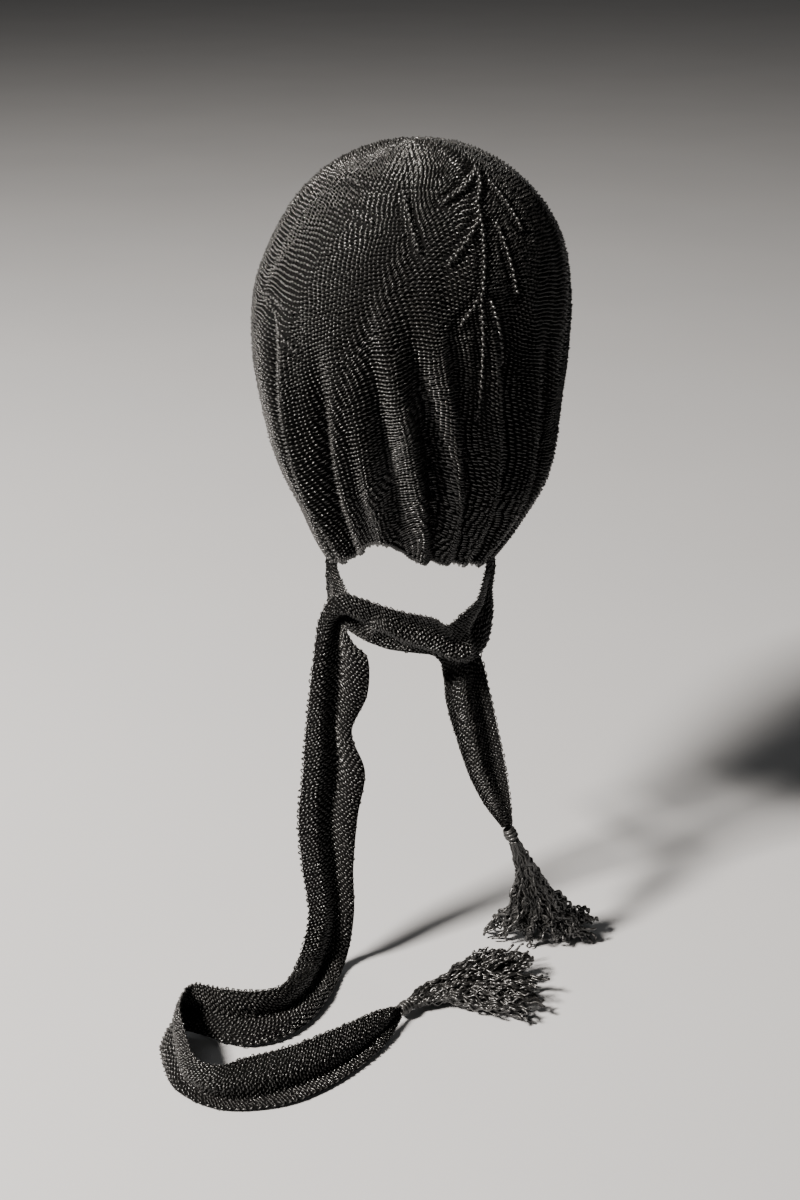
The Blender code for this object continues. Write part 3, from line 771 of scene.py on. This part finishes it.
# %% The route of the two ties
# Each section: the x, y and z of one edge and of the other in millimetres, how deep the
# strip folds there, and where across its width the fold lies
LONG_TIE_ROWS = (
    # the sewn-on top
    (46, -24, -238.5, 51, -12, -238.5, 0, 0.5),
    (45, -24, -245.5, 52, -12, -248, 0, 0.5),
    # beside the neck
    (43, -36, -248, 50, -14.5, -263, 1, 0.5),
    (38.5, -51, -253, 50, -28, -272.5, 2, 0.5),
    # the band across the nape
    (30.5, -61, -256, 46, -47, -284, 3, 0.5),
    (21, -67, -261, 34.5, -60, -289, -4, 0.75),
    (12.5, -69, -255.5, 16, -66, -282.5, -5, 0.68),
    (-2, -70, -252, -2, -68, -279.5, -5, 0.55),
    (-15, -70, -248, -16.5, -68, -276.5, -4, 0.42),
    (-28.5, -68, -243.5, -28, -67, -268.5, 3, 0.75),
    # turning down
    (-39, -65, -242, -34, -67, -264.5, 7, 0.74),
    (-47.5, -63, -247.5, -36, -66, -264, 8, 0.68),
    (-53, -64, -258, -36, -67, -266.5, 8, 0.6),
    # the tail
    (-55.5, -67, -271, -31.5, -69, -273.5, 7, 0.5),
    (-57.5, -70, -284, -23.5, -71, -281.5, 7, 0.42),
    (-60.5, -74, -307.5, -24, -74, -303.5, 8, 0.45),
    (-62.5, -78, -328, -33.5, -78, -326, 8, 0.55),
    (-64.5, -83, -350, -25.5, -82, -350.5, 8, 0.5),
    (-67.5, -90, -380.5, -30, -88, -377.5, 7, 0.52),
    (-65, -98, -409, -33, -94, -410, 6, 0.6),
    (-61.5, -107, -435, -33, -99, -440.5, 4, 0.6),
    # the foot
    (-67, -122, -455, -38.5, -105.5, -470, 3, 0.6),
    # the far run along the table
    (-73.5, -150, -452, -50, -144, -472.5, 4, 0.5),
    (-87.5, -159, -450, -67.5, -171, -472.5, 5, 0.5),
    (-106, -158.5, -449, -95, -181.5, -472.5, 4, 0.5),
    # the turn
    (-125.5, -155.5, -448, -131.5, -168.5, -472.5, 2, 0.5),
    (-130, -173.5, -448, -141.5, -181, -472.5, -2, 0.5),
    (-123.5, -200, -449, -137.5, -201, -472.5, -3, 0.6),
    (-117, -215.5, -451, -129, -219, -472.5, -4, 0.7),
    # the near run
    (-104.5, -219.5, -453, -110, -232, -472.5, -4, 0.75),
    (-87.5, -212, -453, -88.5, -234.5, -472.5, -4, 0.75),
    (-65.5, -203, -453, -63, -228, -472.5, -4, 0.7),
    (-40.5, -185, -455, -38.5, -210.5, -472.5, -3, 0.7),
    (-18.5, -165.5, -459, -15, -181.5, -472.5, -2, 0.6),
    # the bound end
    (-6.5, -155.5, -464, -5, -157.5, -471, 0, 0.5),
)
SHORT_TIE_ROWS = (
    # the sewn-on top
    (-44, -21, -239, -50.5, -15.5, -239, 0, 0.5),
    (-43, -21.5, -246.5, -51, -16, -249, 0, 0.5),
    # beside the neck
    (-39.5, -29, -252, -50.5, -20, -261, 1, 0.5),
    (-34.5, -44, -256, -47.5, -22, -277.5, 2, 0.5),
    # behind the band
    (-15, -55, -262.5, -24, -47, -283.5, 3, 0.5),
    (5.5, -57, -268, 2.5, -54, -285.5, 3, 0.5),
    (25, -50, -276.5, 16.5, -55, -290, 3, 0.5),
    # turning down
    (41.5, -39, -291.5, 19.5, -52, -305, 4, 0.5),
    # the tail
    (48.5, -50, -312.5, 20.5, -62, -314.5, 5, 0.6),
    (53.5, -65, -333, 26, -70, -332.5, 5, 0.6),
    (58, -76, -354, 34, -77, -355, 4, 0.6),
    (60.5, -82, -372, 43.5, -83, -372, 2, 0.5),
    # the bound end
    (61.5, -86, -385, 55, -86, -387, 0, 0.5),
)
FOLD_SPREAD = 0.17  # half the width of a fold, as a share of the tie's
FOLD_BOW = 0.35  # share of its depth that the rest of the strip bows the other way
TIE_FOLD_DEEPER = 1.20  # limp yarn folds deeper than the stiff solid
TIE_FOLD_MORE = 2.0 * MM  # and by up to this much more
RULER_POINTS = 1200
FLOOR = -0.4740


def tie_edges(rows, t):
    """A tie's two edges and its fold at every t, which counts its rows."""
    read = [curve_through(list(enumerate(column)), t) for column in np.array(rows).T]
    first = np.stack(read[0:3], axis=-1) * MM
    second = np.stack(read[3:6], axis=-1) * MM
    return first, second, read[6] * MM, read[7]


def tie_surface(rows, t, across):
    """Points of a tie's middle layer, t along it and across from 0 to 1, and its run."""
    t, across = np.broadcast_arrays(np.asarray(t, float), np.asarray(across, float))
    last = len(rows) - 1
    t = np.clip(t, 0, last)
    first, second, fold, fold_at = tie_edges(rows, t)
    early = tie_edges(rows, np.maximum(t - 0.05, 0))
    late = tie_edges(rows, np.minimum(t + 0.05, last))
    run = unit(late[0] + late[1] - early[0] - early[1])
    flat = unit(np.cross(run, first - second))
    fold = fold * TIE_FOLD_DEEPER + np.clip(fold, -TIE_FOLD_MORE, TIE_FOLD_MORE)
    depth = fold * np.exp(-((across - fold_at) / FOLD_SPREAD) ** 2)
    depth = depth - FOLD_BOW * fold * np.sin(np.pi * across)
    place = first + (second - first) * across[..., None] + flat * depth[..., None]
    return place, run


def tie_frame(rows, t, across):
    """Points of the middle layer with the way out of the cloth."""
    small = 0.02
    place, run = tie_surface(rows, t, across)
    beside = tie_surface(rows, t, across + small)[0] - tie_surface(rows, t, across - small)[0]
    return place, unit(np.cross(run, -beside))


def tie_ruler(rows):
    """Values of t, close together, and how far along the tie's middle they lie."""
    t = np.linspace(0, len(rows) - 1, RULER_POINTS)
    return t, lengths_along(tie_surface(rows, t, 0.5)[0])


# %% [markdown]
# One single strand makes all of a tie: it runs across the strip, round at the edge, and
# back in the next row. Each stitch shows a bar on one face, dives, and shows a bar on the
# other, and the next row's bars lie between them. The rows slant down towards the edges,
# since the pull along the middle is stronger, and the loops are uneven.

# %% Knit the ties
TIE_COURSE = 1.95 * MM
TIE_STITCHES = 15
TIE_SLANT = 9.0 * MM  # how much further along a row's edges lie than its middle
TIE_TILT = 5.0 * MM  # and one edge than the other
SLANT_FROM, SLANT_UNTIL = 6, 12  # rows over which the slant comes and goes at the ends
TIE_LOOSE = 0.30 * MM  # how unevenly the loops lie
TIE_LOOSE_OUT, TIE_LOOSE_THICK = 0.20, 0.12  # and how much they differ, as shares
TIE_OPEN = 22 * MM  # narrower than this, the strip squeezes its yarn thinner
TIE_SQUEEZED = 0.55  # but never thinner than this share
EDGE_IN = 0.03  # how far inside its outline a tie's rows turn, as a share of its width
EDGE_LOOP = 0.03  # and how far out from there a row can stick
TIE_CLOTH_STEP, TIE_CLOTH_COLUMNS = 3 * MM, 25
POINTS_A_BAR = 2  # a stitch has a bar on each face, and each lies a little loose
# Along one stitch: its share, then how far out of the cloth, how far along it and how
# thick, in millimetres
TIE_STITCH_ROWS = (
    (0.00, 0.78, -0.32, 0.60),
    (0.25, 0.10, 0.42, 0.42),
    (0.50, -0.78, -0.32, 0.60),
    (0.75, -0.10, 0.42, 0.42),
)


def knit_tie(rows):
    """One strand, to and fro, from the corner to the bound end."""
    ruler_t, ruler = tie_ruler(rows)
    count = int(ruler[-1] / TIE_COURSE)
    place_in, out_mm, along_mm, radius_mm = repeat_stitch(TIE_STITCH_ROWS, TIE_STITCHES)
    centres, outs, radii = [], [], []
    for number in range(count):
        back = number % 2
        low = EDGE_IN - EDGE_LOOP * chance.uniform(0, 1) ** 2
        high = 1 - EDGE_IN + EDGE_LOOP * chance.uniform(0, 1) ** 2
        share = (place_in + 0.5 * back) / TIE_STITCHES
        across = low + (high - low) * (1 - share if back else share)
        loose = np.repeat(chance.normal(0, 1, (3, TIE_STITCHES * 2)), POINTS_A_BAR, axis=1)
        slant = TIE_SLANT * np.abs(2 * across - 1) + TIE_TILT * (across - 0.5)
        slant = slant * min(1.0, number / SLANT_FROM, (count - number) / SLANT_UNTIL)
        at = (number + 0.5) * TIE_COURSE + along_mm * MM + TIE_LOOSE * loose[0] + slant
        t = np.interp(at, ruler, ruler_t)
        place, out = tie_frame(rows, t, across)
        first, second, _, _ = tie_edges(rows, t)
        width = np.linalg.norm(second - first, axis=1)
        squeeze = np.clip(width / TIE_OPEN, TIE_SQUEEZED, 1)
        lift = out_mm * MM * (1 + TIE_LOOSE_OUT * loose[1])
        centres.append(place + out * lift[:, None])
        outs.append(out)
        radii.append(radius_mm * MM * squeeze * (1 + TIE_LOOSE_THICK * loose[2]))
    return [(np.concatenate(centres), np.concatenate(outs), np.concatenate(radii), False)]


def make_tie(name, rows):
    """A tie's stitches and its cloth."""
    ruler_t, ruler = tie_ruler(rows)
    steps = int(ruler[-1] / TIE_CLOTH_STEP)
    t = np.interp(np.linspace(0, ruler[-1], steps), ruler, ruler_t)
    across = np.linspace(EDGE_IN, 1 - EDGE_IN, TIE_CLOTH_COLUMNS)
    points = tie_surface(rows, t[:, None], across[None, :])[0]
    # the tie's cloth carries the painted shade that shows between its stitches
    cloth_mesh = sheet_mesh(f"{name}_cloth", points, False)
    cloth = dress(f"{name}_cloth", cloth_mesh, tie_painted_shade, name)
    stitches = dress_yarn(
        f"{name}_stitches", knit_tie(rows), YARN_SIDES, tie_silk, name
    )
    print(f"{name}: {ruler[-1]:.3f} m long")


make_tie("long_tie", LONG_TIE_ROWS)
make_tie("short_tie", SHORT_TIE_ROWS)

# %% [markdown]
# ## The bindings
# Where a tie ends it is gathered and wrapped tightly with the same yarn, whose turns lie
# side by side on a small barrel.

# %% Wrap the bindings
BINDING_RADIUS = 4.2 * MM
BINDING_LENGTH = 8.5 * MM
BINDING_WAIST = 0.80  # the radius at both ends, as a share of the middle's
BINDING_TURNS = 8
WRAP_YARN = 0.64 * MM
WRAP_POINTS = 16  # to one turn
WRAP_SIDES = 6
SLANTING = (0.31, 0.95, 0.05)  # a direction in which no strand runs
# How unevenly the turns lie: two heights, each with its waves to a turn
WRAP_UNEVEN = ((0.30 * MM, 0.37), (0.15 * MM, 1.7))


def end_direction(rows):
    """The direction in which a tie leaves its bound end."""
    last = len(rows) - 1
    ends = tie_surface(rows, np.array([last - 0.3, last]), 0.5)[0]
    return unit(ends[1] - ends[0])


def side_ways(direction):
    """Two directions square to the first and to each other."""
    first = unit(np.cross(direction, SLANTING))
    return first, np.cross(direction, first)


def wrap_binding(middle, direction):
    """The wrapped yarn as one coil from end to end of the barrel."""
    one, two = side_ways(direction)
    turn = np.linspace(0, 2 * np.pi * BINDING_TURNS, BINDING_TURNS * WRAP_POINTS)
    share = turn / turn[-1] * 2 - 1
    reach = BINDING_RADIUS * (1 - (1 - BINDING_WAIST) * share ** 2) - WRAP_YARN
    for height, waves in WRAP_UNEVEN:
        reach = reach + height * np.sin(waves * turn)
    outward = np.cos(turn)[:, None] * one + np.sin(turn)[:, None] * two
    along = share * (BINDING_LENGTH / 2 - WRAP_YARN)
    centres = middle + direction * along[:, None] + outward * reach[:, None]
    return centres, outward, np.full(len(turn), WRAP_YARN), False


# %% [markdown]
# ## The tassels
# The tassels are unravelled yarn, whose strands cling together in clumps. The short tie's
# tassel is pushed up by the table and opens like a skirt. The long tie's lies on the
# table in a fan.

# %% Where the clumps end
HEAD_RADIUS = 5.0 * MM
CLUMPS = 64
CLUMP_TURNS = 21  # how often the skirt's clumps go round it
INNERMOST = 0.12  # the skirt's smallest share of its reach, squared
SKIRT = {
    "x": 0.083, "y": -0.072, "reach_x": 0.039, "reach_y": 0.0155,
    "low": 1.5 * MM, "high": 0.010, "bow": 0.010,
}
# The fan's first and last direction are degrees from the right, towards the brow. Its
# outer, shortest and longest clumps are shares of its reach
FAN = {
    "reach": 0.082, "first": -14.0, "last": 48.0, "outer": 0.86, "shortest": 0.68,
    "longest": 1.02, "low": 2.0 * MM, "high": 0.017, "bow": 0.004,
}


def standing_ends():
    """Where the standing tassel's clumps end: all over an ellipse."""
    turn = np.arange(CLUMPS) + chance.uniform(0, 1, CLUMPS)
    turn = 2 * np.pi * turn * CLUMP_TURNS / CLUMPS
    out = chance.uniform(INNERMOST, 1.0, CLUMPS) ** 0.5
    high = SKIRT["low"] + SKIRT["high"] * chance.uniform(0, 1, CLUMPS) ** 2
    return np.stack([
        SKIRT["x"] + SKIRT["reach_x"] * out * np.cos(turn),
        SKIRT["y"] + SKIRT["reach_y"] * out * np.sin(turn),
        FLOOR + high,
    ], axis=1)


def lying_ends(head):
    """Where the lying tassel's clumps end: in a fan, heaped in its middle."""
    share = (np.arange(CLUMPS) + chance.uniform(0, 1, CLUMPS)) / CLUMPS
    turn = np.radians(FAN["first"] + share * (FAN["last"] - FAN["first"]))
    inner = np.sin(np.pi * share)
    far = FAN["reach"] * (FAN["outer"] + (1 - FAN["outer"]) * inner)
    far = far * chance.uniform(FAN["shortest"], FAN["longest"], CLUMPS)
    high = FAN["low"] + FAN["high"] * chance.uniform(0, 1, CLUMPS) * inner ** 0.5
    return np.stack([
        head[0] + far * np.cos(turn), head[1] + far * np.sin(turn), FLOOR + high,
    ], axis=1)


# %% [markdown]
# The unravelled yarn keeps the crimp of its stitches. A strand leaves the head in the
# tie's direction, bends over to its clump's end, spreads a little from the clump, and
# curls at its tip. A bundle of thicker strands in near-black painted shade fills the inside.

# %% Crimp the strands
STRANDS_A_CLUMP = 3
STRAND_SIDES, STRAND_POINTS = 4, 66
TASSEL_YARN = 0.84 * MM
THICKNESSES = (0.75, 1.15)  # from strand to strand, as shares of that
CRIMP_THICKER = 0.15
REACHES = (0.86, 1.04)  # shares of the way to the clump's end
NECK = 1.45  # above 1, the strands stay together near the head
ROOT_DEPTH, ROOT_SPREAD = 0.9, 0.45  # where strands start, in radii of the head
CLUMP_SPREAD = 1.6 * MM
SPREAD_DIFFERS, WAVES_DIFFER = 0.6, 0.5
CRIMP_LENGTH = 7.5 * MM
CRIMP_LENGTHS = (0.8, 1.25)
CRIMP_HEIGHTS = (1.15 * MM, 0.46 * MM)  # in a strand's two directions
WANDER_LENGTHS = (26 * MM, 32.5 * MM)
WANDER_HEIGHT = 1.5 * MM
CURL = 2.0 * MM  # how far a strand's tip bends aside
# Shares of a strand at which it waves fully, has spread, and starts to curl
WAVES_FULLY, SPREAD_FULLY, CURL_FROM = 0.12, 0.5, 0.75
CORE_YARN = 1.5 * MM
CORE_SHARE, CORE_LENGTH = 0.62, 0.9  # how far out and how far down the inner ones reach
CORE_STEPS, CORE_SIDES = 9, 5


def bent_line(start, end, direction, bow, along):
    """A line that leaves in one direction and bends over to its end."""
    axial = direction * np.dot(end - start, direction)
    line = start + axial * along[:, None] + (end - start - axial) * (along ** NECK)[:, None]
    return line + direction * (bow * np.sin(np.pi * np.minimum(along, 1.0)))[:, None]


def crimped_strand(start, end, direction, bow, phases, lean):
    """One wavy strand of a clump, whose strands share their phases and their lean."""
    share = np.linspace(0, 1, STRAND_POINTS)
    reach = chance.uniform(*REACHES)
    line = bent_line(start, end, direction, bow, share * reach)
    one, two = side_ways(unit(end - start))
    ways = (
        one * math.cos(lean) + two * math.sin(lean),
        two * math.cos(lean) - one * math.sin(lean),
    )
    away = chance.normal(0, SPREAD_DIFFERS, 2)
    own = phases + chance.normal(0, WAVES_DIFFER, 3)
    crimp_length = CRIMP_LENGTH * chance.uniform(*CRIMP_LENGTHS)
    curl = CURL * chance.normal(0, 1, 2)
    turn = 2 * np.pi * np.linalg.norm(end - start) * reach * share
    crimp = np.sin(turn / crimp_length + own[0])
    high = np.minimum(share / WAVES_FULLY, 1.0)
    spread = np.minimum(share / SPREAD_FULLY, 1.0) * CLUMP_SPREAD
    bend = (np.maximum(share - CURL_FROM, 0) / (1 - CURL_FROM)) ** 2
    for i, way in enumerate(ways):
        wander = np.sin(turn / WANDER_LENGTHS[i] + own[i + 1])
        waves = CRIMP_HEIGHTS[i] * crimp + WANDER_HEIGHT * wander
        line = line + way * (high * waves + away[i] * spread + curl[i] * bend)[:, None]
    radii = TASSEL_YARN * chance.uniform(*THICKNESSES) * (1 + CRIMP_THICKER * crimp)
    line[:, 2] = np.maximum(line[:, 2], FLOOR + TASSEL_YARN)
    return line, ways[0], radii, False


def make_tassel(name, head, direction, ends, bow):
    """The bundle of painted shade inside a tassel and its strands, clump by clump."""
    start = head - direction * (ROOT_DEPTH * HEAD_RADIUS)
    one, two = side_ways(direction)
    middle_end = np.mean(ends, axis=0)
    core = []
    for end in ends[::2]:
        end = middle_end + (end - middle_end) * CORE_SHARE
        line = bent_line(start, end, direction, bow, np.linspace(0, CORE_LENGTH, CORE_STEPS))
        line[:, 2] = np.maximum(line[:, 2], FLOOR + CORE_YARN)
        core.append((line, one, np.full(CORE_STEPS, CORE_YARN), False))
    # the bundle inside the tassel is painted shade, in the near-black cloth material
    dress_yarn(f"{name}_core", core, CORE_SIDES, tie_painted_shade, name)
    strands = []
    for end in ends:
        phases = chance.uniform(0, 2 * np.pi, 3)
        lean = chance.uniform(0, 2 * np.pi)
        aside, across = chance.uniform(-1, 1, 2) * ROOT_SPREAD * HEAD_RADIUS
        root = start + one * aside + two * across
        for _ in range(STRANDS_A_CLUMP):
            strands.append(crimped_strand(root, end, direction, bow, phases, lean))
    dress_yarn(f"{name}_strands", strands, STRAND_SIDES, tassel_silk, name)


for name, rows in (("long", LONG_TIE_ROWS), ("short", SHORT_TIE_ROWS)):
    direction = end_direction(rows)
    low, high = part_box(f"{name}_binding")
    middle = (np.array(low) + np.array(high)) / 2
    dress_yarn(
        f"{name}_binding_wrap", [wrap_binding(middle, direction)], WRAP_SIDES,
        wrap_silk, f"{name}_binding",
    )
    head = middle + direction * (BINDING_LENGTH / 2 + HEAD_RADIUS)
    if name == "long":
        make_tassel("long_tassel", head, direction, lying_ends(head), FAN["bow"])
    else:
        make_tassel("short_tassel", head, direction, standing_ends(), SKIRT["bow"])

# %% [markdown]
# ## The table and the light
# A plain pale surface goes on past the edges of the picture. The key light, half a metre
# wide, is high on the left and about as far back as the camera, so that the crown and the
# left folds shine and the right side is dark. Two faint lights and a dim room keep the
# shadows from going quite black.

# %% Floor and lights
FLOOR_SIZE = 30.0
FLOOR_GAP = 0.5 * MM  # room for the thickness of the yarn that lies on it
MOTTLE = 1 / 3  # size of the paint's soft spots, in metres

bpy.ops.mesh.primitive_plane_add(size=FLOOR_SIZE, location=(0, 0, FLOOR - FLOOR_GAP))
floor = bpy.context.active_object
floor.name = "floor"
paint, paint_tree, paint_shader, paint_place = new_material("matt pale paint", {"Roughness": 0.7})
pale = add_blend(paint_tree, "#a9aaac", "#b0b1b3", add_noise(paint_tree, paint_place, MOTTLE, 4.0))
paint_tree.links.new(pale, paint_shader.inputs["Base Color"])
floor.data.materials.append(paint)


def soft_light(name, place, target, size, watts, colour):
    """A square soft light that faces a target."""
    lamp = bpy.data.lights.new(name, "AREA")
    lamp.size = size
    lamp.energy = watts
    lamp.color = linear(colour)[:3]
    holder = bpy.data.objects.new(name, lamp)
    holder.location = place
    holder.rotation_euler = (Vector(target) - Vector(place)).to_track_quat("-Z", "Y").to_euler()
    scene.collection.objects.link(holder)


soft_light("key light", (-1.92, -1.08, 1.65), (0, 0, -0.12), 0.50, 372, "#fff7ee")
soft_light("fill light", (-0.7, -1.9, 0.9), (0, 0, -0.2), 0.7, 0.8, "#fffaf2")
soft_light("edge light", (-0.9, 1.1, 0.9), (0, 0, -0.1), 0.8, 3, "#ffffff")

world = bpy.data.worlds.new("soft room light")
world.use_nodes = True
room = world.node_tree.nodes["Background"]
room.inputs["Color"].default_value = linear("#e9e9e8")
room.inputs["Strength"].default_value = 0.06
scene.world = world

# %% [markdown]
# ## The camera
# The picture was taken from behind and a little above, about a metre away, with a normal
# lens: 50 mm on a sensor 36 mm tall.

# %% Camera
CAMERA_PLACE = (-0.006, -0.94, 0.1485)
LOOK_DOWN = 24.3  # degrees below the horizon
IMAGE_HEIGHT = 1200  # pixels
FOCAL_PIXELS = 1667  # the focal length, in the picture's own pixels
SENSOR = 36.0  # millimetres

camera_data = bpy.data.cameras.new("camera")
camera_data.sensor_fit = "VERTICAL"
camera_data.sensor_height = SENSOR
camera_data.lens = SENSOR * FOCAL_PIXELS / IMAGE_HEIGHT
camera = bpy.data.objects.new("camera", camera_data)
camera.location = CAMERA_PLACE
camera.rotation_euler = (math.radians(90 - LOOK_DOWN), 0, 0)
scene.collection.objects.link(camera)
scene.camera = camera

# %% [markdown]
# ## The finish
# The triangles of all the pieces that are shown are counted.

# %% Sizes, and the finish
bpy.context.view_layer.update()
shown = [o for o in bpy.data.objects if o.type == "MESH" and not o.hide_render]
print("triangles in all:", sum(triangles(o.data) for o in shown))
